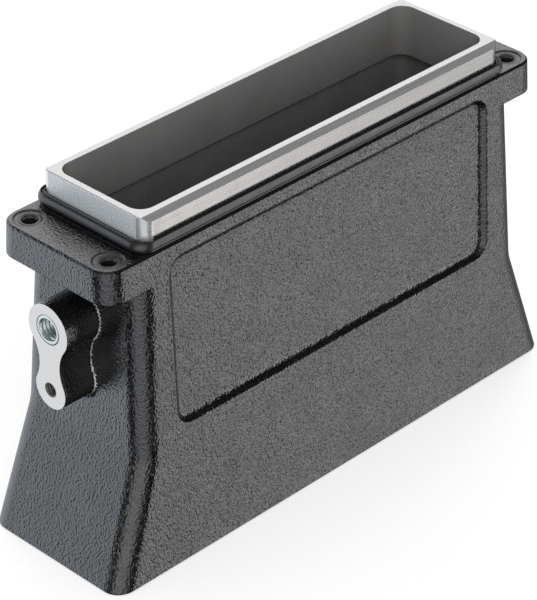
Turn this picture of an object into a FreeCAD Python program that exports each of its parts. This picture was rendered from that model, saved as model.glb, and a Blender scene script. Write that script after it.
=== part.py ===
import FreeCAD, Part
import math
import os

from FreeCAD import Vector

# Housing of a heavy duty rectangular connector. It stands on its closed wide end, mating rim up.
# X runs along the housing and Y across it. The origin is at the centre of the foot, on the base.
# Lengths are in millimetres and angles in degrees.

# Mating rim and the pocket inside it
rim_inner_length = 117.0
rim_inner_width = 28.2
rim_inner_radius = 4.0
rim_height = 8.8
rim_end_wall = 1.85
rim_side_land = 1.7
rim_side_chamfer = 1.3
rim_end_chamfer = 0.3
rim_outer_radius = 2.9
pocket_depth = 13.8

# Outside of the casting, from the shoulder round the rim down to the flared foot
total_height = 94.4
shoulder_side_width = 1.15
side_draft = 3.0
shoulder_end_width = 3.65
end_draft = 2.6
kink_height = 32.2
kink_radius = 12.0
foot_spread = 10.75
corner_radius = 5.2
foot_edge_chamfer = 0.6

# Screw flange that stands out at both ends of the top
flange_overhang = 9.0
flange_thickness = 8.4
flange_draft = 1.1
flange_corner_radius = 5.3
flange_edge_chamfer = 0.5
screw_inset_end = 5.4
screw_inset_side = 5.15
screw_hole_diameter = 4.2
spot_face_diameter = 7.6
spot_face_depth = 0.4

# Inside of the casting
wall_thickness = 3.6
floor_thickness = 4.0
cavity_corner_radius = 3.2

# Shallow panel sunk in each long side
panel_end_gap = 9.7
panel_top_gap = 3.6
panel_bottom_height = 37.2
panel_radius = 4.6
panel_depth = 1.45
panel_slope_width = 0.95

# Fixing boss on each end wall: a large lobe over a small one
boss_length = 10.3
boss_top_gap = 6.1
boss_upper_radius = 6.5
boss_lower_radius = 5.0
boss_hole_spacing = 16.4
boss_waist_width = 6.8
boss_root_radius = 1.0

# Threaded steel insert in the large lobe and plain hole in the small one
insert_diameter = 7.6
insert_length = 9.0
insert_bore = 5.1
insert_mouth_chamfer = 0.45
insert_clearance = 0.02
pin_hole_diameter = 3.8
pin_hole_depth = 7.0

# Rubber seal on the shoulder round the rim
seal_height = 3.3
seal_end_width = 2.35
seal_side_width = 1.2
seal_corner_radius = 4.2
seal_top_chamfer = 0.55
seal_foot_height = 1.1
seal_undercut = 0.75
seal_groove_width = 0.3
seal_groove_depth = 0.9
seal_clearance = 0.04

# Heights and half sizes that follow
shoulder_height = total_height - rim_height
flange_bottom = shoulder_height - flange_thickness
cavity_top = total_height - pocket_depth
rim_half_length = rim_inner_length / 2 + rim_end_wall
rim_half_width = rim_inner_width / 2 + rim_side_land + rim_side_chamfer
top_half_width = rim_half_width + shoulder_side_width
neck_top_half_length = rim_half_length + shoulder_end_width
screw_x = neck_top_half_length + flange_overhang - screw_inset_end
screw_y = top_half_width - screw_inset_side
boss_upper_height = flange_bottom - boss_top_gap - boss_upper_radius
boss_lower_height = boss_upper_height - boss_hole_spacing
overshoot = 1.0
tolerance = 0.01


def half_width(z):
    """Half width of the outside, across Y, at height z."""
    return top_half_width + (shoulder_height - z) * math.tan(math.radians(side_draft))


def neck_half_length(z):
    """Half length of the outside above the kink, along X, at height z."""
    return neck_top_half_length + (flange_bottom - z) * math.tan(math.radians(end_draft))


def flange_half_length(z):
    """Half length of the flange at height z."""
    drop = shoulder_height - z
    return neck_top_half_length + flange_overhang + drop * math.tan(math.radians(flange_draft))


foot_half_length = neck_half_length(kink_height) + foot_spread
boss_reach = neck_half_length(boss_upper_height) + boss_length
slab_reach = 2 * foot_half_length


def prism(points, direction):
    """Extrude the closed outline through the points along a vector."""
    edges = []
    for index, start in enumerate(points):
        end = points[(index + 1) % len(points)]
        edges.append(Part.makeLine(start, end))
    return Part.Face(Part.Wire(edges)).extrude(direction)


def rounded_rectangle(half_x, half_y, radius, z):
    """Closed wire of a rectangle with round corners, centred on the Z axis."""
    diagonal = radius * (1 - math.sqrt(0.5))
    corners = []
    for sign_x, sign_y in ((1, -1), (1, 1), (-1, 1), (-1, -1)):
        before = Vector(sign_x * (half_x - radius), sign_y * half_y, z)
        after = Vector(sign_x * half_x, sign_y * (half_y - radius), z)
        middle = Vector(sign_x * (half_x - diagonal), sign_y * (half_y - diagonal), z)
        if sign_x * sign_y > 0:
            before, after = after, before
        corners.append((before, middle, after))
    edges = []
    for index, (before, middle, after) in enumerate(corners):
        edges.append(Part.Arc(before, middle, after).toShape())
        edges.append(Part.makeLine(after, corners[(index + 1) % 4][0]))
    return Part.Wire(edges)


def rounded_block(half_x, half_y, radius, bottom, top):
    """Upright block with round vertical edges."""
    face = Part.Face(rounded_rectangle(half_x, half_y, radius, bottom))
    return face.extrude(Vector(0, 0, top - bottom))


def across_slab(inset, bottom, top):
    """Slab through the length whose sides are the drafted long walls, moved in by inset."""
    low, high = half_width(bottom) - inset, half_width(top) - inset
    points = [
        Vector(-slab_reach, -low, bottom),
        Vector(-slab_reach, low, bottom),
        Vector(-slab_reach, high, top),
        Vector(-slab_reach, -high, top),
    ]
    return prism(points, Vector(2 * slab_reach, 0, 0))


def kink_arc(inset):
    """Start, middle and end of the arc that blends the foot wall into the neck wall."""
    kink = Vector(neck_half_length(kink_height), 0, kink_height)
    foot = Vector(foot_half_length, 0, 0)
    down = (foot - kink).normalize()
    up = Vector(-math.sin(math.radians(end_draft)), 0, math.cos(math.radians(end_draft)))
    turn = math.pi - down.getAngle(up)
    outward = (down + up).normalize()
    corner = kink - outward * (inset / math.cos(turn / 2))
    radius = kink_radius + inset
    tangent = radius * math.tan(turn / 2)
    sag = radius * (1 / math.cos(turn / 2) - 1)
    return corner + down * tangent, corner + outward * sag, corner + up * tangent


def line_at(start, end, z):
    """Point at height z on the line through start and end."""
    return start + (end - start) * ((z - start.z) / (end.z - start.z))


def lengthwise_slab(inset, bottom, top):
    """Slab through the width whose ends are the flared foot and the neck, moved in by inset."""
    low_tangent, blend, high_tangent = kink_arc(inset)
    foot_direction = Vector(foot_spread, 0, -kink_height)
    neck_direction = Vector(-math.tan(math.radians(end_draft)), 0, 1)
    low = line_at(low_tangent, low_tangent + foot_direction, bottom)
    high = line_at(high_tangent, high_tangent + neck_direction, top)
    edges = []
    for sign in (1, -1):
        ends = [Vector(sign * p.x, -slab_reach, p.z) for p in (low, low_tangent, blend, high_tangent, high)]
        edges.append(Part.makeLine(ends[0], ends[1]))
        edges.append(Part.Arc(ends[1], ends[2], ends[3]).toShape())
        edges.append(Part.makeLine(ends[3], ends[4]))
    for z, x in ((bottom, low.x), (top, high.x)):
        edges.append(Part.makeLine(Vector(-x, -slab_reach, z), Vector(x, -slab_reach, z)))
    wire = Part.Wire(Part.__sortEdges__(edges))
    return Part.Face(wire).extrude(Vector(0, 2 * slab_reach, 0))


def upright_edges(solid):
    """The edges at the four corners, which run up the solid."""
    found = []
    for edge in solid.Edges:
        low, high = edge.Vertexes[0].Point, edge.Vertexes[-1].Point
        if abs(low.z - high.z) > tolerance and low.x * high.x > 0 and low.y * high.y > 0:
            found.append(edge)
    return found


def level_edges(solid, z):
    """The edges that lie at height z."""
    return [edge for edge in solid.Edges
            if abs(edge.BoundBox.ZMin - z) < tolerance and abs(edge.BoundBox.ZMax - z) < tolerance]


def make_shell_block():
    """Solid outside of the housing: flared foot, neck and screw flange."""
    block = lengthwise_slab(0, 0, shoulder_height).common(across_slab(0, 0, shoulder_height))
    block = block.makeFillet(corner_radius, upright_edges(block))
    block = block.makeChamfer(foot_edge_chamfer, level_edges(block, 0))
    top, bottom = flange_half_length(shoulder_height), flange_half_length(flange_bottom)
    ends = [
        Vector(-bottom, -slab_reach, flange_bottom),
        Vector(bottom, -slab_reach, flange_bottom),
        Vector(top, -slab_reach, shoulder_height),
        Vector(-top, -slab_reach, shoulder_height),
    ]
    flange = prism(ends, Vector(0, 2 * slab_reach, 0))
    flange = flange.common(across_slab(0, flange_bottom, shoulder_height))
    flange = flange.makeFillet(flange_corner_radius, upright_edges(flange))
    return block.fuse(flange).removeSplitter()


def roof(half, chamfer, along, across):
    """Long block under the rim's top whose two upper edges, half away from the middle, are chamfered."""
    low = shoulder_height - 2 * overshoot
    eave = total_height - chamfer - overshoot
    outline = [
        (-half - overshoot, low),
        (half + overshoot, low),
        (half + overshoot, eave),
        (half - chamfer, total_height),
        (-half + chamfer, total_height),
        (-half - overshoot, eave),
    ]
    points = [across * offset - along * slab_reach + Vector(0, 0, z) for offset, z in outline]
    return prism(points, along * (2 * slab_reach))


def make_rim():
    """Upright rim with a wide chamfer on its long sides and a fine one on its ends."""
    lengthwise, crosswise = Vector(1, 0, 0), Vector(0, 1, 0)
    block = rounded_block(rim_half_length, rim_half_width, rim_outer_radius,
                          shoulder_height - overshoot, total_height)
    block = block.common(roof(rim_half_width, rim_side_chamfer, lengthwise, crosswise))
    return block.common(roof(rim_half_length, rim_end_chamfer, crosswise, lengthwise))


def waist_arc():
    """Drop from the upper lobe's centre to the waist, and the radius of the hollow arc between the lobes.

    The arc touches both lobes and passes half the waist width from the middle, which gives a quadratic
    for the drop.
    """
    half = boss_waist_width / 2
    upper = boss_upper_radius - half
    lower = boss_lower_radius - half
    upper_square = boss_upper_radius ** 2 - half ** 2
    lower_square = boss_lower_radius ** 2 - half ** 2
    share = lower / upper
    rest = boss_hole_spacing ** 2 - lower_square + share * upper_square
    drop = rest / (boss_hole_spacing + math.sqrt(boss_hole_spacing ** 2 - (1 - share) * rest))
    return drop, (drop ** 2 - upper_square) / (2 * upper)


def boss_outline(x):
    """Closed wire of the two lobes and the waist between them, in the plane at x."""
    drop, waist_radius = waist_arc()
    side = boss_waist_width / 2 + waist_radius
    upper_reach = boss_upper_radius + waist_radius
    lower_reach = boss_lower_radius + waist_radius
    waist_height = boss_upper_height - drop
    edges = []
    for sign in (1, -1):
        centre = Vector(x, sign * side, waist_height)
        upper = Vector(x, 0, boss_upper_height)
        lower = Vector(x, 0, boss_lower_height)
        high = upper + (centre - upper) * (boss_upper_radius / upper_reach)
        low = lower + (centre - lower) * (boss_lower_radius / lower_reach)
        waist = Vector(x, sign * boss_waist_width / 2, waist_height)
        crown = Vector(x, 0, boss_upper_height + boss_upper_radius)
        foot = Vector(x, 0, boss_lower_height - boss_lower_radius)
        upper_side = Vector(x, sign * boss_upper_radius, boss_upper_height)
        lower_side = Vector(x, sign * boss_lower_radius, boss_lower_height)
        edges.append(Part.Arc(crown, upper_side, high).toShape())
        edges.append(Part.Arc(high, waist, low).toShape())
        edges.append(Part.Arc(low, lower_side, foot).toShape())
    return Part.Wire(Part.__sortEdges__(edges))


def boss_root_edges(solid, sign):
    """The edges where the boss meets the end wall."""
    lowest = boss_lower_height - boss_lower_radius - tolerance
    highest = boss_upper_height + boss_upper_radius + tolerance
    found = []
    for edge in solid.Edges:
        middle = edge.valueAt((edge.FirstParameter + edge.LastParameter) / 2)
        on_wall = abs(sign * middle.x - neck_half_length(middle.z)) < tolerance
        if on_wall and lowest < middle.z < highest and abs(middle.y) < boss_upper_radius + tolerance:
            found.append(edge)
    return found


def add_boss(solid, sign):
    """Fuse one end boss to the housing and blend its root."""
    root = neck_half_length(shoulder_height) - wall_thickness / 2
    boss = Part.Face(boss_outline(sign * root)).extrude(Vector(sign * (boss_reach - root), 0, 0))
    solid = solid.fuse(boss)
    return solid.makeFillet(boss_root_radius, boss_root_edges(solid, sign))


def panel_cutter(sign):
    """Tapered block that sinks the panel in the long wall on one side."""
    top = shoulder_height - panel_top_gap
    middle_height = (top + panel_bottom_height) / 2
    tilt = math.radians(side_draft)
    half_rise = (top - panel_bottom_height) / 2 / math.cos(tilt)
    slope = panel_slope_width / panel_depth
    wires = []
    for depth in (-overshoot, panel_depth):
        shrink = slope * depth
        wires.append(rounded_rectangle(neck_top_half_length - panel_end_gap - shrink, half_rise - shrink,
                                       panel_radius - shrink, -depth))
    cutter = Part.makeLoft(wires, True, True)
    cutter.rotate(Vector(0, 0, 0), Vector(1, 0, 0), 90 - side_draft)
    cutter.translate(Vector(0, -half_width(middle_height), middle_height))
    if sign > 0:
        cutter.rotate(Vector(0, 0, 0), Vector(0, 0, 1), 180)
    return cutter


def make_cavity():
    """Pocket inside the rim and the wider hollow under it."""
    pocket = rounded_block(rim_inner_length / 2, rim_inner_width / 2, rim_inner_radius,
                           cavity_top - overshoot, total_height + overshoot)
    hollow = lengthwise_slab(wall_thickness, floor_thickness, cavity_top)
    side_inset = wall_thickness / math.cos(math.radians(side_draft))
    hollow = hollow.common(across_slab(side_inset, floor_thickness, cavity_top))
    hollow = hollow.makeFillet(cavity_corner_radius, upright_edges(hollow))
    return [pocket, hollow]


def screw_hole_cutters():
    """Tapping holes through the flange ends, each with a spot face."""
    cutters = []
    for sign_x in (-1, 1):
        for sign_y in (-1, 1):
            x = sign_x * screw_x
            y = sign_y * screw_y
            hole = Part.makeCylinder(screw_hole_diameter / 2, flange_thickness + 2 * overshoot,
                                     Vector(x, y, flange_bottom - overshoot))
            spot = Part.makeCylinder(spot_face_diameter / 2, spot_face_depth + overshoot,
                                     Vector(x, y, shoulder_height - spot_face_depth))
            cutters.append(hole)
            cutters.append(spot)
    return cutters


def boss_hole_cutters(sign):
    """Seat of the insert, and the plain hole under it."""
    inward = Vector(-sign, 0, 0)
    face = Vector(sign * boss_reach, 0, 0)
    upper = face + Vector(0, 0, boss_upper_height)
    lower = face + Vector(0, 0, boss_lower_height)
    outward = inward * -overshoot
    seat = Part.makeCylinder(insert_diameter / 2 + insert_clearance, insert_length + overshoot,
                             upper + outward, inward)
    pin = Part.makeCylinder(pin_hole_diameter / 2, pin_hole_depth + overshoot, lower + outward, inward)
    return [seat, pin]


def make_housing():
    """The die-cast housing with its machined rim, in one piece."""
    solid = make_shell_block()
    solid = solid.makeChamfer(flange_edge_chamfer, level_edges(solid, shoulder_height))
    for sign in (-1, 1):
        solid = add_boss(solid, sign)
    solid = solid.fuse(make_rim())
    cutters = make_cavity() + screw_hole_cutters()
    for sign in (-1, 1):
        cutters += boss_hole_cutters(sign)
        cutters.append(panel_cutter(sign))
    return solid.cut(cutters)


def make_seal():
    """Rubber ring that lies on the shoulder round the rim."""
    outer_x = rim_half_length + seal_end_width
    outer_y = rim_half_width + seal_side_width
    top = shoulder_height + seal_height
    roll_bottom = shoulder_height + seal_foot_height
    roll = rounded_block(outer_x, outer_y, seal_corner_radius, roll_bottom, top)
    roll = roll.makeChamfer(seal_top_chamfer, level_edges(roll, top))
    foot = rounded_block(outer_x - seal_undercut, outer_y - seal_undercut,
                         seal_corner_radius - seal_undercut, shoulder_height, top - seal_groove_depth)
    cutters = []
    for gap, low in ((seal_clearance, shoulder_height - overshoot),
                     (seal_clearance + seal_groove_width, top - seal_groove_depth)):
        cutters.append(rounded_block(rim_half_length + gap, rim_half_width + gap,
                                     rim_outer_radius + gap, low, top + overshoot))
    return roll.fuse(foot).cut(cutters).removeSplitter()


def make_insert(sign):
    """Threaded steel bush, flush with the boss face."""
    inward = Vector(-sign, 0, 0)
    mouth = Vector(sign * boss_reach, 0, boss_upper_height)
    body = Part.makeCylinder(insert_diameter / 2, insert_length, mouth, inward)
    bore = Part.makeCylinder(insert_bore / 2, insert_length + 2 * overshoot,
                             mouth - inward * overshoot, inward)
    cone = Part.makeCone(insert_bore / 2 + insert_mouth_chamfer, insert_bore / 2, insert_mouth_chamfer,
                         mouth, inward)
    return body.cut([bore, cone])


def write(name, shape):
    """Write one piece to its own file."""
    solid = shape.Solids[0] if len(shape.Solids) == 1 else shape
    print(name, "solids", len(shape.Solids), "valid", solid.isValid(), "faces", len(solid.Faces),
          "volume %.1f" % solid.Volume)
    solid.exportStep("parts/" + name + ".step")


os.makedirs("parts", exist_ok=True)
write("housing", make_housing())
write("seal", make_seal())
write("insert_left", make_insert(-1))
write("insert_right", make_insert(1))
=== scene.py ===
import math

import bpy
import numpy as np
from mathutils import Matrix, Vector


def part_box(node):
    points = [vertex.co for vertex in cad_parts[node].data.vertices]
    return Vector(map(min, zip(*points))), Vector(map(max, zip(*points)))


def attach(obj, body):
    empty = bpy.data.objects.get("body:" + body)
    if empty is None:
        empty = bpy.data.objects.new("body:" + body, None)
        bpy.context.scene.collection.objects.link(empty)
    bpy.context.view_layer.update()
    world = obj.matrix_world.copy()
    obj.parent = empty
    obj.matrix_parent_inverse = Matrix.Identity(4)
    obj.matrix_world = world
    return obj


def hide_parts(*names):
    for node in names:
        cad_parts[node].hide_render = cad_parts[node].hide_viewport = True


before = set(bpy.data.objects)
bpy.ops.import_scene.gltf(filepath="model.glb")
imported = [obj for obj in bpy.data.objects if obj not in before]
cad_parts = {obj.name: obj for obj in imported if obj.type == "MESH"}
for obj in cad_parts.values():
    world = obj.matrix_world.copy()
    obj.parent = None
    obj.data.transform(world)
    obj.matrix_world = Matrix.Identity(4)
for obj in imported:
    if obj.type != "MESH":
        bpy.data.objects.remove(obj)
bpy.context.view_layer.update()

mm = 0.001
scene = bpy.context.scene
print("frame loaded:", sorted(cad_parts))


# Node helpers

def newMaterial(name):
    # an empty node material with its Principled shader
    material = bpy.data.materials.new(name)
    material.use_nodes = True
    tree = material.node_tree
    return material, tree, tree.nodes["Principled BSDF"]


def feed(tree, socket, source):
    # links another node's output to a socket, or sets the socket to a plain value
    if isinstance(source, bpy.types.NodeSocket):
        tree.links.new(source, socket)
    else:
        socket.default_value = source


def setShader(tree, shader, **sources):
    # plain values go straight on the shader's own sockets, and patterns are linked to them
    names = {"color": "Base Color", "metallic": "Metallic", "roughness": "Roughness", "ior": "IOR",
             "specular": "Specular IOR Level", "normal": "Normal"}
    for key, source in sources.items():
        feed(tree, shader.inputs[names[key]], source)


def mathNode(tree, operation, *sources):
    # a Math node whose inputs are numbers or other nodes' outputs
    node = tree.nodes.new("ShaderNodeMath")
    node.operation = operation
    for socket, source in zip(node.inputs, sources):
        feed(tree, socket, source)
    return node.outputs["Value"]


def mixedColor(tree, factor, first, second):
    # a colour that goes from the first to the second with the factor
    node = tree.nodes.new("ShaderNodeMix")
    node.data_type = "RGBA"
    for name, source in (("Factor", factor), ("A", first), ("B", second)):
        feed(tree, node.inputs[name], (*source, 1) if isinstance(source, tuple) else source)
    return node.outputs["Result"]


def gradedValue(tree, source, fromLow, fromHigh, toLow, toHigh):
    # maps a value from one range to another
    node = tree.nodes.new("ShaderNodeMapRange")
    node.inputs["From Min"].default_value = fromLow
    node.inputs["From Max"].default_value = fromHigh
    node.inputs["To Min"].default_value = toLow
    node.inputs["To Max"].default_value = toHigh
    tree.links.new(source, node.inputs["Value"])
    return node.outputs["Result"]


usualNoise = (0.3, 0.7)  # nearly all values of a noise lie in between


def spreadNoise(tree, noise, low, high):
    # a noise that is brought to the range from low to high
    return gradedValue(tree, noise, *usualNoise, low, high)


def stretchedPlace(tree, stretch=(1, 1, 1)):
    # object coordinates, stretched so that a round pattern becomes a streak
    place = tree.nodes.new("ShaderNodeTexCoord")
    mapping = tree.nodes.new("ShaderNodeMapping")
    mapping.inputs["Scale"].default_value = stretch
    tree.links.new(place.outputs["Object"], mapping.inputs["Vector"])
    return mapping.outputs["Vector"]


def noiseValue(tree, place, size, detail=2.0, roughness=0.5, twist=0.0):
    # noise whose features are about `size` metres across
    node = tree.nodes.new("ShaderNodeTexNoise")
    node.inputs["Scale"].default_value = 1 / size
    node.inputs["Detail"].default_value = detail
    node.inputs["Roughness"].default_value = roughness
    node.inputs["Distortion"].default_value = twist
    tree.links.new(place, node.inputs["Vector"])
    return node.outputs["Fac"]


def addBump(tree, height, depth, normal=None):
    # bump that is `depth` metres high where the height goes from 0 to 1
    node = tree.nodes.new("ShaderNodeBump")
    node.inputs["Strength"].default_value = 1.0
    node.inputs["Distance"].default_value = depth
    tree.links.new(height, node.inputs["Height"])
    if normal is not None:
        tree.links.new(normal, node.inputs["Normal"])
    return node.outputs["Normal"]


edgeSamples = 6  # more of them make the soft edges smoother and slower


def softEdges(tree, radius):
    # shades the edges as if they were rounded, as cast and machined edges are
    node = tree.nodes.new("ShaderNodeBevel")
    node.samples = edgeSamples
    node.inputs["Radius"].default_value = radius
    return node.outputs["Normal"]


# Finishes: each has its colours, and the size of its patterns as noiseValue takes them

powderCoat = {"dark": (0.002, 0.002, 0.002), "light": (0.005, 0.005, 0.005),
              "grain": {"size": 0.62 * mm, "detail": 0.6, "twist": 0.3}, "grainDepth": 0.18 * mm,
              "fine": {"size": 0.22 * mm}, "fineDepth": 0.03 * mm, "cloud": {"size": 9 * mm, "detail": 3.0},
              "roughness": (0.20, 0.30), "specular": 0.9, "ior": 1.7, "edge": 0.35 * mm}


def makePowderCoat():
    # black powder coat with orange peel
    finish = powderCoat
    material, tree, shader = newMaterial("powderCoat")
    place = stretchedPlace(tree)
    grain = noiseValue(tree, place, **finish["grain"])
    fine = noiseValue(tree, place, **finish["fine"])
    cloud = noiseValue(tree, place, **finish["cloud"])
    grained = addBump(tree, grain, finish["grainDepth"], softEdges(tree, finish["edge"]))
    setShader(tree, shader, color=mixedColor(tree, cloud, finish["dark"], finish["light"]),
              roughness=spreadNoise(tree, cloud, *finish["roughness"]),
              normal=addBump(tree, fine, finish["fineDepth"], grained),
              specular=finish["specular"], ior=finish["ior"])
    return material


# painted light inside the pocket and the hollow: light colours, graded lighter from low to high, stand in
# for the light that falls in from the open top
insideLitCoat = {"dark": (0.115, 0.111, 0.109), "light": (0.250, 0.246, 0.242), "low": 79 * mm, "high": 94 * mm,
              "rimLightShare": 0.8, "cloud": {"size": 14 * mm, "detail": 3.0}, "grain": {"size": 0.5 * mm},
              "grainDepth": 0.004 * mm, "roughness": 0.45, "specular": 0.6, "edge": 0.4 * mm}


def makeInsideLitCoat():
    # the same coat where it lies smooth, inside the pocket and the hollow, with painted light: a far lighter
    # colour than outside for the light that falls in, lighter still towards the rim
    finish = insideLitCoat
    material, tree, shader = newMaterial("insideLitCoat")
    place = stretchedPlace(tree)
    grain = noiseValue(tree, place, **finish["grain"])
    cloud = noiseValue(tree, place, **finish["cloud"])
    parts = tree.nodes.new("ShaderNodeSeparateXYZ")
    tree.links.new(place, parts.inputs["Vector"])
    share = finish["rimLightShare"]
    # painted light: the colour grows lighter with height towards the rim
    height = gradedValue(tree, parts.outputs["Z"], finish["low"], finish["high"], 0, share)
    rimLightAndCloud = mathNode(tree, "ADD", height, spreadNoise(tree, cloud, 0, 1 - share))
    setShader(tree, shader, color=mixedColor(tree, rimLightAndCloud, finish["dark"], finish["light"]),
              normal=addBump(tree, grain, finish["grainDepth"], softEdges(tree, finish["edge"])),
              roughness=finish["roughness"], specular=finish["specular"])
    return material


machinedRim = {"metallic": 0.95, "dull": (0.39, 0.39, 0.385), "bright": (0.54, 0.54, 0.53),
               "streakLength": 30 * mm, "streakWidth": 0.16 * mm, "streakDetail": 3.0,
               "streakRoughness": 0.6, "cloud": {"size": 6 * mm}, "roughness": (0.20, 0.30),
               "depth": 0.0012 * mm, "edge": 0.12 * mm}
# painted reflection: the rim's end faces get a light, bluish, mostly matt colour that stands in for the pale
# blue screen that they reflect
rimEnd = {**machinedRim, "metallic": 0.30, "dull": (0.72, 0.77, 0.80), "bright": (0.78, 0.83, 0.86),
          "streakWidth": 0.4 * mm, "roughness": (0.42, 0.48), "depth": 0.0002 * mm}
# painted highlight: the rounded rim corners of the left end get a light, more metallic colour that stands in
# for the highlight they catch
rimCornerHighlight = {**rimEnd, "metallic": 0.75, "dull": (0.84, 0.86, 0.87), "bright": (0.92, 0.94, 0.95),
             "roughness": (0.30, 0.36)}
# painted reflection: the rim's long chamfer gets a mid grey, less metallic colour that stands in for the
# light it reflects
rimChamferReflection = {**machinedRim, "metallic": 0.4, "dull": (0.33, 0.33, 0.33), "bright": (0.41, 0.41, 0.41),
              "roughness": (0.36, 0.44), "depth": 0.0006 * mm}


def makeMachinedRim(name, finish):
    # bare milled aluminium, whose fine lines run level round the rim
    material, tree, shader = newMaterial(name)
    long, short = 1 / finish["streakLength"], 1 / finish["streakWidth"]
    streaks = noiseValue(tree, stretchedPlace(tree, (long, long, short)), 1, finish["streakDetail"],
                         finish["streakRoughness"])
    cloud = noiseValue(tree, stretchedPlace(tree), **finish["cloud"])
    color = mixedColor(tree, spreadNoise(tree, streaks, 0, 1), finish["dull"], finish["bright"])
    setShader(tree, shader, color=color, metallic=finish["metallic"],
              roughness=spreadNoise(tree, cloud, *finish["roughness"]),
              normal=addBump(tree, streaks, finish["depth"], softEdges(tree, finish["edge"])))
    return material


rimTop = {"metallic": 0.3, "dull": (0.63, 0.63, 0.63), "bright": (0.74, 0.74, 0.74), "roughness": 0.42,
          "speck": {"size": 0.5 * mm, "detail": 3.0, "roughness": 0.6}, "depth": 0.002 * mm,
          "arc": (1 / (8 * mm), 1 / (0.2 * mm), 1), "arcShare": 0.5, "edge": 0.15 * mm}
bossFace = {"metallic": 0.6, "dull": (0.68, 0.66, 0.63), "bright": (0.78, 0.75, 0.72), "roughness": 0.20,
            "speck": {"size": 0.7 * mm, "detail": 3.0, "roughness": 0.6}, "depth": 0.001 * mm,
            "arc": (1, 1 / (0.2 * mm), 1 / (5 * mm)), "arcShare": 0.5, "edge": 0.15 * mm}


def makeFaceCut(name, finish):
    # bare aluminium that a face mill has cut: fine arcs, stretched by x, y and z, on a mottled ground
    material, tree, shader = newMaterial(name)
    speck = noiseValue(tree, stretchedPlace(tree), **finish["speck"])
    arcs = noiseValue(tree, stretchedPlace(tree, finish["arc"]), 1)
    share = finish["arcShare"]
    cut = mathNode(tree, "MULTIPLY_ADD", speck, 1 - share, gradedValue(tree, arcs, 0, 1, 0, share))
    setShader(tree, shader, color=mixedColor(tree, cut, finish["dull"], finish["bright"]),
              normal=addBump(tree, cut, finish["depth"], softEdges(tree, finish["edge"])),
              metallic=finish["metallic"], roughness=finish["roughness"])
    return material


drilledWall = {"dark": (0.09, 0.085, 0.08), "light": (0.34, 0.33, 0.32), "turns": {"size": 0.35 * mm},
               "depth": 0.02 * mm, "metallic": 0.7, "roughness": 0.42}


def makeDrilledWall():
    # wall of a drilled hole: half bare metal with fine turns
    finish = drilledWall
    material, tree, shader = newMaterial("drilledWall")
    turns = noiseValue(tree, stretchedPlace(tree), **finish["turns"])
    setShader(tree, shader, color=mixedColor(tree, turns, finish["dark"], finish["light"]),
              normal=addBump(tree, turns, finish["depth"]), metallic=finish["metallic"],
              roughness=finish["roughness"])
    return material


sealRubber = {"dark": (0.010, 0.010, 0.011), "light": (0.015, 0.015, 0.016), "cloud": {"size": 5 * mm},
              "grain": {"size": 0.25 * mm}, "depth": 0.002 * mm, "roughness": (0.32, 0.40), "specular": 0.9,
              "ior": 1.6}


def makeSealRubber():
    # smooth satin rubber with a trace of grain
    finish = sealRubber
    material, tree, shader = newMaterial("sealRubber")
    place = stretchedPlace(tree)
    cloud = noiseValue(tree, place, **finish["cloud"])
    grain = noiseValue(tree, place, **finish["grain"])
    setShader(tree, shader, color=mixedColor(tree, cloud, finish["dark"], finish["light"]),
              roughness=spreadNoise(tree, cloud, *finish["roughness"]),
              normal=addBump(tree, grain, finish["depth"]), specular=finish["specular"], ior=finish["ior"])
    return material


zincSteel = {"dull": (0.40, 0.56, 0.60), "bright": (0.96, 0.93, 0.86), "metallic": 0.85,
             "patch": {"size": 0.7 * mm, "detail": 3.0}, "depth": 0.004 * mm, "roughness": (0.20, 0.34)}


def makeZincSteel():
    # blue zinc plate on steel
    finish = zincSteel
    material, tree, shader = newMaterial("zincSteel")
    patch = noiseValue(tree, stretchedPlace(tree), **finish["patch"])
    setShader(tree, shader, color=mixedColor(tree, patch, finish["dull"], finish["bright"]),
              roughness=spreadNoise(tree, patch, *finish["roughness"]),
              normal=addBump(tree, patch, finish["depth"]), metallic=finish["metallic"])
    return material


spotFace = {"dark": (0.02, 0.02, 0.02), "light": (0.04, 0.04, 0.04), "depth": 0.01 * mm,
            "cloud": {"size": 0.6 * mm, "detail": 3.0}, "roughness": 0.34, "specular": 0.75, "ior": 1.65}


def makeSpotFace():
    # the coat where it lies thin and smooth round a screw hole
    finish = spotFace
    material, tree, shader = newMaterial("spotFace")
    cloud = noiseValue(tree, stretchedPlace(tree), **finish["cloud"])
    setShader(tree, shader, color=mixedColor(tree, cloud, finish["dark"], finish["light"]),
              normal=addBump(tree, cloud, finish["depth"]), roughness=finish["roughness"],
              specular=finish["specular"], ior=finish["ior"])
    return material


edgeCoat = {"dark": (0.004, 0.004, 0.004), "light": (0.012, 0.012, 0.012), "roughness": 0.5,
            "specular": 0.25, "cloud": {"size": 0.5 * mm, "detail": 3.0}}


def makeEdgeCoat():
    # the coat where it is thin and dull: the flange's sharp edge, a screw hole's turns, a boss's root
    finish = edgeCoat
    material, tree, shader = newMaterial("edgeCoat")
    cloud = noiseValue(tree, stretchedPlace(tree), **finish["cloud"])
    setShader(tree, shader, color=mixedColor(tree, cloud, finish["dark"], finish["light"]),
              roughness=finish["roughness"], specular=finish["specular"])
    return material


# painted highlight: light colours that stand in for the shine in a boss's root
paintedRootHighlight = {"dark": (0.10, 0.10, 0.105), "light": (0.62, 0.62, 0.63), "roughness": 0.3, "specular": 0.9,
            "patch": {"size": 2.2 * mm, "detail": 3.0, "roughness": 0.7}, "patchRange": (0.4, 0.65)}


def makePaintedRootHighlight():
    # painted highlight on the coat in the root of a boss: light colours, brighter in some places than in
    # others, stand in for its shine
    finish = paintedRootHighlight
    material, tree, shader = newMaterial("paintedRootHighlight")
    patch = noiseValue(tree, stretchedPlace(tree), **finish["patch"])
    patch = gradedValue(tree, patch, *finish["patchRange"], 0, 1)
    setShader(tree, shader, color=mixedColor(tree, patch, finish["dark"], finish["light"]),
              roughness=finish["roughness"], specular=finish["specular"])
    return material


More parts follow.
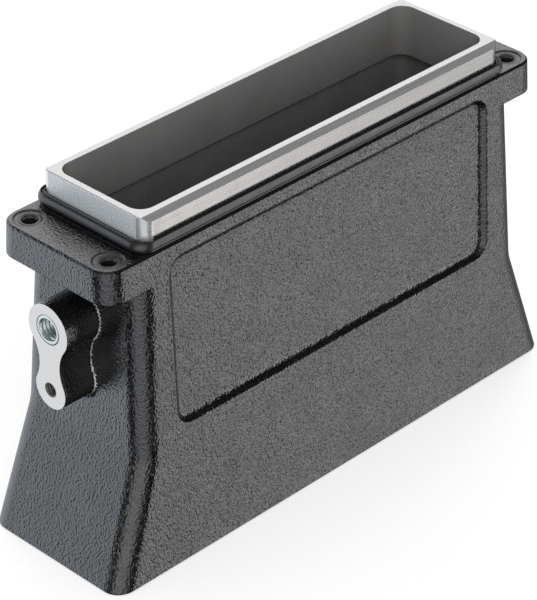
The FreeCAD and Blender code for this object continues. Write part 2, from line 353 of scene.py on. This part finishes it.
coatMaterial = makePowderCoat()
insideLitMaterial = makeInsideLitCoat()
rimMaterial = makeMachinedRim("machinedRim", machinedRim)
rimEndReflectionMaterial = makeMachinedRim("rimEndPaintedReflection", rimEnd)
cornerHighlightMaterial = makeMachinedRim("paintedCornerHighlight", rimCornerHighlight)
chamferReflectionMaterial = makeMachinedRim("chamferPaintedReflection", rimChamferReflection)
rimTopMaterial = makeFaceCut("rimTopCut", rimTop)
bossMaterial = makeFaceCut("bossFaceCut", bossFace)
holeMaterial = makeDrilledWall()
spotMaterial = makeSpotFace()
edgeMaterial = makeEdgeCoat()
rootHighlightMaterial = makePaintedRootHighlight()
rubberMaterial = makeSealRubber()
zincMaterial = makeZincSteel()
print("finishes made")


# Housing: its solid stays, and each of its faces gets a finish of the real casting, with painted light or
# painted reflection in the colours of the inside, the rim's ends, chamfer and left corners and the bosses'
# roots

housing = {"shoulder": 85.6 * mm, "hollowFloor": 4.0 * mm, "bossReach": 74.8 * mm, "bossLow": 40 * mm,
           "insertPlace": 64.6 * mm, "insertRadius": 3.9 * mm, "pinPlace": 48.2 * mm, "pinRadius": 2.0 * mm,
           "screwPlace": (67.6 * mm, 13.1 * mm), "screwRadius": 2.2 * mm, "spotRadius": 3.9 * mm,
           "spotDepth": 0.4 * mm, "rimEnd": 60.3 * mm, "rimCornerHighlight": 57.3 * mm,
           "chamferHeights": (92 * mm, 93.5 * mm), "edgeDrop": 0.5 * mm, "edgeRise": 0.4 * mm,
           "edgeSide": 17.6 * mm, "rootReach": (63 * mm, 67 * mm), "rootHeights": (40 * mm, 74 * mm),
           "rootSide": 8 * mm, "rootTurn": (0.03, 0.97), "rootHighlight": (0.5, 0.8), "slack": 0.02 * mm,
           "weld": 0.001 * mm}  # places, and how far a face may lie off them


def meshArray(items, name, width, kind=float):
    # one value of every vertex, face or corner as an array
    values = np.zeros(len(items) * width, kind)
    items.foreach_get(name, values)
    return values.reshape(-1, width) if width > 1 else values


def reachedFaces(corners, owner, first, start, closed):
    # faces that can be reached from the start, over shared corner points, without crossing closed faces
    inside = start
    while True:
        touched = np.zeros(corners.max() + 1, bool)
        touched[corners[inside[owner]]] = True
        reached = np.logical_or.reduceat(touched[corners], first) & ~closed
        if reached.sum() == inside.sum():
            return inside
        inside = reached


def between(low, high, axis, limits):
    # the faces that lie within two limits along one axis, by their lowest and highest values
    return (low[:, axis] > limits[0]) & (high[:, axis] < limits[1])


def housingFinishes(mesh):
    # the finishes of the casting, some with painted light or painted reflection in their colours, each with
    # a mask of the faces that have it: where two name the same face, the later one counts. Places are taken
    # without their sign, because both ends and sides are alike.
    size, slack, shoulder = housing, housing["slack"], housing["shoulder"]
    first = meshArray(mesh.polygons, "loop_start", 1, np.int32)
    owner = np.repeat(np.arange(len(first)), meshArray(mesh.polygons, "loop_total", 1, np.int32))
    points = meshArray(mesh.vertices, "co", 3)
    corners = meshArray(mesh.loops, "vertex_index", 1, np.int32)
    rounded = np.round(points / size["weld"]).astype(np.int64)
    shared = np.unique(rounded, axis=0, return_inverse=True)[1].ravel()
    place = np.abs(points[corners])
    high, low = np.maximum.reduceat(place, first), np.minimum.reduceat(place, first)

    top = low[:, 2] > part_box("housing")[1].z - slack
    floor = between(low, high, 2, (size["hollowFloor"] - slack, size["hollowFloor"] + slack))
    hollow = reachedFaces(shared[corners], owner, first, floor, top)
    sides = (low[:, 2] > shoulder - slack) & (high[:, 2] > shoulder + slack) & ~hollow & ~top
    # the rim's end faces, which get the painted reflection
    ends = sides & (low[:, 0] > size["rimEnd"])
    # the rim's long chamfer, which gets the painted reflection
    chamfer = sides & between(low, low, 2, size["chamferHeights"])
    # the left end's rounded rim corners only, which get the painted highlight
    leftCornerHighlight = sides & (np.maximum.reduceat(points[corners, 0], first) < -size["rimCornerHighlight"])

    boss = (low[:, 0] > size["bossReach"]) & (low[:, 2] > size["bossLow"])
    fromInsert = np.hypot(place[:, 1], place[:, 2] - size["insertPlace"])
    fromPin = np.hypot(place[:, 1], place[:, 2] - size["pinPlace"])
    bores = np.maximum.reduceat(fromInsert, first) < size["insertRadius"]
    bores |= np.maximum.reduceat(fromPin, first) < size["pinRadius"]
    bores &= ~hollow & ~boss

    # the blend round a boss turns from the end wall to the boss's side, and its middle faces get the painted
    # highlight
    turn = np.abs(meshArray(mesh.polygons, "normal", 3))
    root = between(low, high, 0, size["rootReach"]) & between(low, high, 2, size["rootHeights"])
    root &= between(turn, turn, 0, size["rootTurn"]) & (high[:, 1] < size["rootSide"]) & ~hollow & ~bores
    rootHighlight = root & between(turn, turn, 0, size["rootHighlight"])

    screwX, screwY = size["screwPlace"]
    fromScrew = np.maximum.reduceat(np.hypot(place[:, 0] - screwX, place[:, 1] - screwY), first)
    screw = fromScrew < size["screwRadius"]
    spot = (fromScrew < size["spotRadius"]) & ~screw
    spot &= between(low, high, 2, (shoulder - size["spotDepth"] - slack, shoulder - slack))
    edge = between(low, high, 2, (shoulder - size["edgeDrop"] - slack, shoulder + slack))
    edge &= (high[:, 2] - low[:, 2] > size["edgeRise"]) & (low[:, 1] > size["edgeSide"])

    everywhere = np.ones(len(first), bool)
    return ((coatMaterial, everywhere), (insideLitMaterial, hollow), (rimMaterial, sides),
            (rimTopMaterial, top), (bossMaterial, boss), (holeMaterial, screw | bores),
            (spotMaterial, spot), (rimEndReflectionMaterial, ends), (edgeMaterial, edge | root),
            (cornerHighlightMaterial, leftCornerHighlight & ~ends & ~chamfer), (chamferReflectionMaterial, chamfer),
            (rootHighlightMaterial, rootHighlight))


def paintHousing():
    # every finish gets a material slot, and each face the last finish whose mask has it
    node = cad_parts["housing"]
    finishes = housingFinishes(node.data)
    chosen = np.zeros(len(node.data.polygons), np.int32)
    node.data.materials.clear()
    for index, (material, faces) in enumerate(finishes):
        node.data.materials.append(material)
        chosen[faces] = index
    node.data.polygons.foreach_set("material_index", chosen)
    print("housing painted, faces of each finish:", np.bincount(chosen, minlength=len(finishes)).tolist())


paintHousing()


# Grid pieces: a closed section that is carried round a closed path

def gridMesh(name, points, closed):
    # a mesh of quads over a grid of points, given as rows, columns and 3 coordinates: a closed one also
    # joins its last row to its first and its last column to its first
    rows, columns = points.shape[:2]
    last = 0 if closed else 1
    row, column = np.meshgrid(np.arange(rows - last), np.arange(columns - last), indexing="ij")
    nextRow, nextColumn = (row + 1) % rows, (column + 1) % columns
    faces = np.stack([row * columns + column, nextRow * columns + column, nextRow * columns + nextColumn,
                      row * columns + nextColumn], axis=-1).reshape(-1, 4)
    mesh = bpy.data.meshes.new(name)
    mesh.from_pydata(points.reshape(-1, 3).tolist(), [], faces.tolist())
    thing = bpy.data.objects.new(name, mesh)
    scene.collection.objects.link(thing)
    return thing


def closedGrid(name, points, material):
    # a smooth piece of the housing, from a grid that closes on itself both ways
    thing = gridMesh(name, points, True)
    thing.data.polygons.foreach_set("use_smooth", np.ones(len(thing.data.polygons), bool))
    thing.data.materials.append(material)
    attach(thing, "root")
    return thing


cornerGuard = 0.3 * mm  # how far the straight sides go on beside each corner before their next point


def roundedPath(half, radius, steps):
    # rounded rectangle, counterclockwise: corner centre plus radius times (cos t, sin t) over a quarter
    # turn, with one more point on the straight side before and after each quarter
    t = np.linspace(0, math.pi / 2, steps)[None, :] + np.arange(4)[:, None] * math.pi / 2
    t = np.concatenate([t[:, :1], t, t[:, -1:]], axis=1)
    guard = np.zeros(steps + 2)
    guard[0], guard[-1] = -cornerGuard, cornerGuard
    side = np.array([(1, 1), (-1, 1), (-1, -1), (1, -1)])[:, None, :] * (np.array(half) - radius)
    quarters = side + radius * np.stack([np.cos(t), np.sin(t)], axis=-1)
    return (quarters + guard[None, :, None] * np.stack([-np.sin(t), np.cos(t)], axis=-1)).reshape(-1, 2)


def arcPoints(centre, radius, fromAngle, toAngle, steps):
    # centre plus radius times (sin a, cos a), from one angle to the other
    a = np.radians(np.linspace(fromAngle, toAngle, steps))
    return np.array(centre) + radius * np.stack([np.sin(a), np.cos(a)], axis=-1)


# Panel edges: the cast step round each panel, with the rounding of its upper edge and of its root.
# Lengths in this dictionary, and in those of the screw seats, the seal's section and the bores, are in mm,
# and the draft is in degrees.

panel = {"half": (54.3, 22.43), "radius": 4.6, "middleHeight": 59.6, "middleReach": 19.6126, "draft": 3.0,
         "depth": 1.45, "slopeWidth": 0.95, "edgeRadius": 0.9, "rootRadius": 2.0, "proud": 0.05,
         "floorProud": 0.02, "slopeProud": 0.15, "wallReach": 2.0, "floorReach": 1.5, "lead": 0.3,
         "wallSkirt": ((0, -0.08), (0.1, -0.07)), "floorSkirt": ((-0.1, -0.06), (0, -0.07), (0, -0.3)),
         "buried": ((0.6, -1.95), (-0.6, -0.6)), "wallBack": -0.4, "cornerSteps": 14, "arcSteps": 9}


def panelSection():
    # points (s, n) of the step: s runs inwards from the panel's outline, n outwards from the wall.
    # Wall, arc of the edge, slope, arc of the root and floor touch each other; the rest lies in the metal.
    size = panel
    angle = math.degrees(math.atan2(size["depth"], size["slopeWidth"]))
    across, out = math.sin(math.radians(angle)), math.cos(math.radians(angle))
    edge, root, shift = size["edgeRadius"], size["rootRadius"], size["slopeProud"]
    edgeOut = size["proud"] - edge
    rootOut = root - size["depth"] + size["floorProud"]
    edgeCentre = ((shift - edge - out * edgeOut) / across, edgeOut)
    rootCentre = ((shift + root - out * rootOut) / across, rootOut)
    wall, floor = edgeCentre[0] - size["wallReach"], rootCentre[0] + size["floorReach"]
    outside = [(wall + s, n) for s, n in size["wallSkirt"]]
    outside.append((edgeCentre[0] - size["lead"], size["proud"]))
    inside = [(rootCentre[0] + size["lead"], size["floorProud"] - size["depth"])]
    inside += [(floor + s, n - size["depth"]) for s, n in size["floorSkirt"]]
    inside += [*size["buried"], (wall, size["wallBack"])]
    return np.concatenate([outside, arcPoints(edgeCentre, edge, 0, angle, size["arcSteps"]),
                           arcPoints(rootCentre, -root, angle, 0, size["arcSteps"]), inside])


def makePanelEdge(name, side):
    # the section goes round the outline: each of its points follows the outline moved in by s, on a wall
    # that leans in by the draft
    section = panelSection()
    half, radius = np.array(panel["half"]), panel["radius"]
    steps = panel["cornerSteps"]
    rows = np.stack([roundedPath((half - s) * mm, (radius - s) * mm, steps) for s, n in section], axis=1)
    lean = math.radians(panel["draft"])
    along, rise, out = rows[..., 0], rows[..., 1], section[None, :, 1] * mm
    x = -side * along
    y = side * (panel["middleReach"] * mm - rise * math.sin(lean) + out * math.cos(lean))
    z = panel["middleHeight"] * mm + rise * math.cos(lean) + out * math.sin(lean)
    closedGrid(name, np.stack([x, y, z], axis=-1), coatMaterial)


makePanelEdge("panelEdgeFront", -1)
makePanelEdge("panelEdgeBack", 1)
print("panel edges made")


# Screw seats: the rounded step of each spot face and the lip round its hole

screwSeat = {"aroundSteps": 56,
             "section": ((4.40, -0.06), (4.35, -0.05), (4.10, 0.02), (3.97, 0.03), (3.88, 0.01),
                         (3.80, -0.06), (3.72, -0.16), (3.62, -0.27), (3.52, -0.34), (3.42, -0.37),
                         (2.90, -0.375), (2.80, -0.36), (2.72, -0.30), (2.60, -0.27), (2.50, -0.27),
                         (2.44, -0.32), (2.44, -0.60), (2.60, -0.8), (4.40, -0.7))}


def makeScrewSeat(name, place):
    # the section (r, h) turned round the hole's axis: x = r cos t, y = r sin t, z = shoulder + h
    r, h = np.array(screwSeat["section"]).T * mm
    t = np.linspace(0, 2 * math.pi, screwSeat["aroundSteps"], endpoint=False)[:, None]
    x, y = place[0] + r * np.cos(t), place[1] + r * np.sin(t)
    z = housing["shoulder"] + h + 0 * t
    closedGrid(name, np.stack([x, y, z], axis=-1), spotMaterial)


flangeCorners = {"NearLeft": (-1, -1), "FarLeft": (-1, 1), "NearRight": (1, -1), "FarRight": (1, 1)}
for corner, signs in flangeCorners.items():
    makeScrewSeat("seat" + corner, np.array(signs) * housing["screwPlace"])
print("screw seats made")


# Seal: one rubber section carried round the rim

seal = {"innerHalf": (60.35 * mm, 17.1 * mm), "innerRadius": 2.9 * mm, "outerHalf": (62.7 * mm, 18.3 * mm),
        "outerRadius": 4.2 * mm, "cornerSteps": 10, "curveSteps": 5,
        "section": ((0.0, 0.0), (0.0, 2.1), (0.12, 2.1), (0.12, 3.1), (0.26, 3.3), (0.38, 2.95), (0.46, 2.5),
                    (0.56, 2.90), (0.74, 3.10), (0.90, 2.45), (1.0, 1.6), (0.96, 1.05), (0.78, 0.85),
                    (0.62, 0.7), (0.62, 0.0)),
        "lipShare": 0.66, "lipBlend": 0.1, "lipFoot": 2, "lipDrop": 1.3}


def smoothLoop(corners, steps):
    # closed curve of arcs that touch the middle of each side: (1-t)^2 before + 2t(1-t) corner + t^2 after
    corners = np.array(corners)
    before = (corners + np.roll(corners, 1, axis=0)) / 2
    after = (corners + np.roll(corners, -1, axis=0)) / 2
    t = np.linspace(0, 1, steps, endpoint=False)[None, :, None]
    curve = (1 - t) ** 2 * before[:, None] + 2 * t * (1 - t) * corners[:, None] + t ** 2 * after[:, None]
    return curve.reshape(-1, 2)


def makeSeal():
    # each point of the section is (share, height): it lies between the inner and the outer path by its
    # share, at its height over the shoulder; along the long sides the lip next to the rim is lower
    inner = roundedPath(seal["innerHalf"], seal["innerRadius"], seal["cornerSteps"])
    outer = roundedPath(seal["outerHalf"], seal["outerRadius"], seal["cornerSteps"])
    share, height = smoothLoop(seal["section"][::-1], seal["curveSteps"]).T
    flat = inner[:, None] + (outer - inner)[:, None] * share[None, :, None]
    across = (outer - inner) ** 2
    longSide = across[:, 1:] / across.sum(axis=1, keepdims=True)
    lip = np.clip((seal["lipShare"] - share) / seal["lipBlend"], 0, 1)
    lip = lip * np.clip(height - seal["lipFoot"], 0, 1)
    z = housing["shoulder"] + (height - seal["lipDrop"] * lip * longSide) * mm
    points = np.concatenate([flat, z[..., None]], axis=-1)
    ring = closedGrid("rubberSeal", points, rubberMaterial)
    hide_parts("seal")
    print("seal made")


makeSeal()


# Bores: the threaded steel inserts, the wall of the plain hole, and the threads of the screw holes

insert = {"reach": 74.87, "length": 9, "outerRadius": 3.72, "boreRadius": 2.45, "threadDepth": 0.45,
          "pitch": 1.0, "mouth": 0.45, "edge": 0.15, "turnSteps": 9}
pinBore = {"reach": 74.80, "length": 6.9, "outerRadius": 1.88, "boreRadius": 1.50, "threadDepth": 0.22,
           "pitch": 0.8, "mouth": 0.15, "edge": 0.05, "turnSteps": 8}
screwBore = {"drop": 0.26, "length": 3.4, "outerRadius": 2.55, "boreRadius": 1.62, "threadDepth": 0.30,
             "pitch": 0.7, "mouth": 0.72, "edge": 0.05, "turnSteps": 8}
boreWall = {"aroundSteps": 48, "edgeShare": 0.3, "lipDepth": 0.02, "lipWidth": 0.05, "waveHeight": 1.5,
            "waveDrop": 0.2}


def boreGrid(size):
    # the wall's section, carried round the axis: front ring, mouth, turned bore, back ring and outer wall
    end, mouth, edge, outer = size["length"], size["mouth"], size["edge"], size["outerRadius"]
    steps = int((end - mouth) / size["pitch"] * size["turnSteps"])
    turned = np.linspace(mouth, end, steps)
    cut = boreWall["edgeShare"] * edge
    mouthRadius = size["boreRadius"] + mouth
    lipRadius = mouthRadius + boreWall["lipWidth"]
    depth = np.concatenate([[edge, cut, 0, 0, boreWall["lipDepth"]], turned, [end, end - edge]])
    radius = np.concatenate([[outer, outer - cut, outer - edge, lipRadius, mouthRadius], np.zeros(steps),
                             [outer - edge, outer]])
    around = np.linspace(0, 2 * math.pi, boreWall["aroundSteps"], endpoint=False)[None, :]
    depth, radius = np.broadcast_arrays(depth[:, None], radius[:, None] + 0 * around)
    # thread: the bore's radius grows by a blunt triangle wave of the depth, which moves one pitch in a turn
    phase = depth / size["pitch"] - around / (2 * math.pi)
    triangle = np.abs(2 * (phase - np.floor(phase)) - 1)
    wave = np.clip(boreWall["waveHeight"] * triangle - boreWall["waveDrop"], 0, 1)
    radius = np.where(radius == 0, size["boreRadius"] + size["threadDepth"] * wave, radius)
    return depth, radius * np.cos(around), radius * np.sin(around)


def makeEndBore(name, size, side, height, material):
    # a bore along x, in the boss at one end
    depth, first, second = boreGrid(size)
    points = np.stack([side * (size["reach"] - depth), first, height / mm - side * second], axis=-1)
    return closedGrid(name, points * mm, material)


def makeScrewBore(name, place):
    # a bore along z, under one of the flange's screw seats, with a smooth mouth and dull turns
    depth, first, second = boreGrid(screwBore)
    height = housing["shoulder"] / mm - screwBore["drop"]
    points = np.stack([place[0] / mm + first, place[1] / mm - second, height - depth], axis=-1)
    bore = closedGrid(name, points * mm, spotMaterial)
    bore.data.materials.append(edgeMaterial)
    turned = np.repeat(depth[:, 0] > screwBore["mouth"], boreWall["aroundSteps"])
    bore.data.polygons.foreach_set("material_index", turned.astype(np.int32))


for boreEnd, boreSide in (("left", -1), ("right", 1)):
    bush = makeEndBore("bush" + boreEnd.capitalize(), insert, boreSide, housing["insertPlace"],
                       zincMaterial)
    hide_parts("insert_" + boreEnd)
    makeEndBore("pinWall" + boreEnd.capitalize(), pinBore, boreSide, housing["pinPlace"],
                holeMaterial)
for corner, signs in flangeCorners.items():
    makeScrewBore("screwBore" + corner, np.array(signs) * housing["screwPlace"])
print("inserts and bores made")


# Floor and light

studio = {"floorSize": 6.0, "floorSteps": 9, "floorColor": (0.72, 0.72, 0.72), "floorLift": 0.47,
          "floorRoughness": 0.9, "floorSpecular": 0.2,
          "worldColor": (0.96, 0.98, 1.0), "worldStrength": 0.40,
          "lights": (("backLight", (0.85, 0.83, 0.80), 1.3, 7.2, (1.0, 0.99, 0.98)),
                     ("topLight", (-0.2, 0.1, 1.6), 1.0, 2.5, (1.0, 1.0, 1.0)),
                     ("frontLight", (-0.9, -1.1, 1.3), 1.2, 18.0, (1.0, 0.99, 0.97)))}


def makeFloor():
    # flat grid: x and y run from -size/2 to size/2, z is 0. The camera sees it brighter than the light
    # makes it, so that it is as white as the backdrop.
    half = studio["floorSize"] / 2
    across = np.linspace(-half, half, studio["floorSteps"])
    x, y = np.meshgrid(across, across, indexing="ij")
    floor = gridMesh("floor", np.stack([x, y, np.zeros_like(x)], axis=-1), False)
    material, tree, shader = newMaterial("paleFloor")
    setShader(tree, shader, color=(*studio["floorColor"], 1), roughness=studio["floorRoughness"],
              specular=studio["floorSpecular"])
    path = tree.nodes.new("ShaderNodeLightPath")
    seen = mathNode(tree, "MAXIMUM", path.outputs["Is Camera Ray"], path.outputs["Is Glossy Ray"])
    shader.inputs["Emission Color"].default_value = (1, 1, 1, 1)
    feed(tree, shader.inputs["Emission Strength"], mathNode(tree, "MULTIPLY", seen, studio["floorLift"]))
    floor.data.materials.append(material)
    floor.visible_glossy = False  # the gloss sees the screens instead


# Studio round the housing: plain soft light for all that is matt, and pale and black screens for its gloss.
# Each band starts at an angle of height and lists compass angles, from +x towards +y, with the screen that
# starts at each. Angles are in degrees, and "soft" is half the width of the seams.

screens = {"black": (0.004, 0.004, 0.004), "glow": (2.75, 2.71, 2.67), "right": (0.97, 0.96, 0.95),
           "dusk": (0.80, 0.79, 0.79), "left": (1.06, 1.13, 1.22), "front": (0.43, 0.45, 0.49),
           "pale": (1.10, 1.10, 1.10), "shine": (0.70, 0.73, 0.79), "back": (1.58, 1.56, 1.54),
           "gloom": (0.26, 0.26, 0.27), "rear": (0.80, 0.82, 0.84), "sky": (0.26, 0.27, 0.28),
           "dim": (0.06, 0.06, 0.06), "soft": 2.0,
           "bands": ((-90, ((-180, "black"), (175, "black"))),
                     (-46, ((-180, "black"), (-175, "shine"), (-106, "black"), (-56, "glow"), (-49, "right"),
                            (-38, "dusk"), (-28, "gloom"), (50, "rear"), (85, "left"), (141, "black"))),
                     (-29, ((-180, "black"), (-175, "front"), (-106, "black"), (-56, "glow"), (-49, "right"),
                            (-38, "dusk"), (-28, "gloom"), (50, "rear"), (85, "left"), (148, "black"))),
                     (-16, ((-180, "black"), (-172, "pale"), (-104, "black"), (-56, "glow"), (-38, "right"),
                            (-28, "gloom"), (50, "rear"), (85, "left"), (152, "black"))),
                     (2, ((-180, "black"), (-172, "pale"), (-104, "black"), (52, "rear"), (85, "left"),
                           (154, "black"))),
                     (13, ((-180, "black"), (-160, "front"), (-110, "black"), (10, "back"), (80, "black"),
                           (95, "left"), (150, "black"))),
                     (30, ((-180, "sky"), (-120, "black"), (-75, "dim"), (12, "back"), (70, "black"))),
                     (42, ((-180, "sky"), (-90, "black"), (0, "back"), (62, "black"))),
                     (66, ((-180, "sky"), (-120, "black"), (0, "sky"))))}


def compassRamp(tree, turn, segments):
    # colour by compass angle: each screen runs to where the next one starts, with a soft seam
    soft = screens["soft"]
    stops = [(-180, segments[0][1])]
    for (angle, name), before in zip(segments[1:], segments):
        stops += [(angle - soft, before[1]), (angle + soft, name)]
    stops.append((180, segments[-1][1]))
    node = tree.nodes.new("ShaderNodeValToRGB")
    ramp = node.color_ramp
    ramp.elements[0].position, ramp.elements[1].position = 0, 1
    for angle, name in stops[1:-1]:
        ramp.elements.new((angle + 180) / 360)
    for element, (angle, name) in zip(ramp.elements, stops):
        element.color = (*screens[name], 1)
    tree.links.new(turn, node.inputs["Fac"])
    return node.outputs["Color"]


def makeWorld():
    # the direction's compass angle picks a screen in each band, and its height picks the band
    world = bpy.data.worlds.new("softRoom")
    world.use_nodes = True
    world.cycles.sampling_method = "NONE"
    tree = world.node_tree
    direction = tree.nodes.new("ShaderNodeTexCoord")
    parts = tree.nodes.new("ShaderNodeSeparateXYZ")
    tree.links.new(direction.outputs["Generated"], parts.inputs["Vector"])
    turn = mathNode(tree, "ARCTAN2", parts.outputs["Y"], parts.outputs["X"])
    turn = gradedValue(tree, turn, -math.pi, math.pi, 0, 1)
    height = mathNode(tree, "MULTIPLY", mathNode(tree, "ARCSINE", parts.outputs["Z"]), 180 / math.pi)
    bands = [(low, compassRamp(tree, turn, segments)) for low, segments in screens["bands"]]
    seen = bands[0][1]
    for low, band in bands[1:]:
        share = gradedValue(tree, height, low - screens["soft"], low + screens["soft"], 0, 1)
        seen = mixedColor(tree, share, seen, band)
    path = tree.nodes.new("ShaderNodeLightPath")
    plain = tuple(channel * studio["worldStrength"] for channel in studio["worldColor"])
    color = mixedColor(tree, path.outputs["Is Glossy Ray"], plain, seen)
    tree.links.new(color, tree.nodes["Background"].inputs["Color"])
    scene.world = world


def makeLights():
    # each light has a place, a size in metres, a power and a colour, and looks at the origin
    for name, place, size, power, color in studio["lights"]:
        light = bpy.data.lights.new(name, "AREA")
        light.size = size
        light.energy = power
        light.color = color
        lamp = bpy.data.objects.new(name, light)
        lamp.location = place
        lamp.rotation_euler = (-Vector(place)).to_track_quat("-Z", "Y").to_euler()
        lamp.visible_glossy = False  # the gloss sees the screens instead
        scene.collection.objects.link(lamp)


makeFloor()
makeWorld()
makeLights()
print("floor, screens and lights made")


# Camera: the photo is 537 by 600 pixels, and its middle looks at a point near the middle of the housing

camera = {"focal": 2963.4, "longSide": 600, "azimuth": -45.485, "elevation": 32.442, "distance": 0.72705,
          "aimHeight": 0.045, "aimRight": -0.002495, "aimUp": -0.005266, "sensor": 36, "clip": (0.05, 50)}


def makeCamera():
    # the camera looks along -back at the aim; its focal length is given in pixels of the photo
    azimuth, elevation = math.radians(camera["azimuth"]), math.radians(camera["elevation"])
    right = Vector((math.cos(azimuth), math.sin(azimuth), 0))
    back = Vector((math.sin(azimuth) * math.cos(elevation), -math.cos(azimuth) * math.cos(elevation),
                   math.sin(elevation)))
    up = back.cross(right)
    aim = Vector((0, 0, camera["aimHeight"])) + right * camera["aimRight"] + up * camera["aimUp"]
    lens = bpy.data.cameras.new("camera")
    lens.sensor_width = camera["sensor"]
    lens.lens = camera["focal"] * camera["sensor"] / camera["longSide"]
    lens.clip_start, lens.clip_end = camera["clip"]
    eye = bpy.data.objects.new("camera", lens)
    turn = Matrix((right, up, back)).transposed().to_4x4()
    eye.matrix_world = Matrix.Translation(aim + back * camera["distance"]) @ turn
    scene.collection.objects.link(eye)
    scene.camera = eye


makeCamera()
scene.view_settings.view_transform = "Standard"
scene.cycles.use_denoising = False  # the denoiser wipes the coat's grain away
print("camera made")
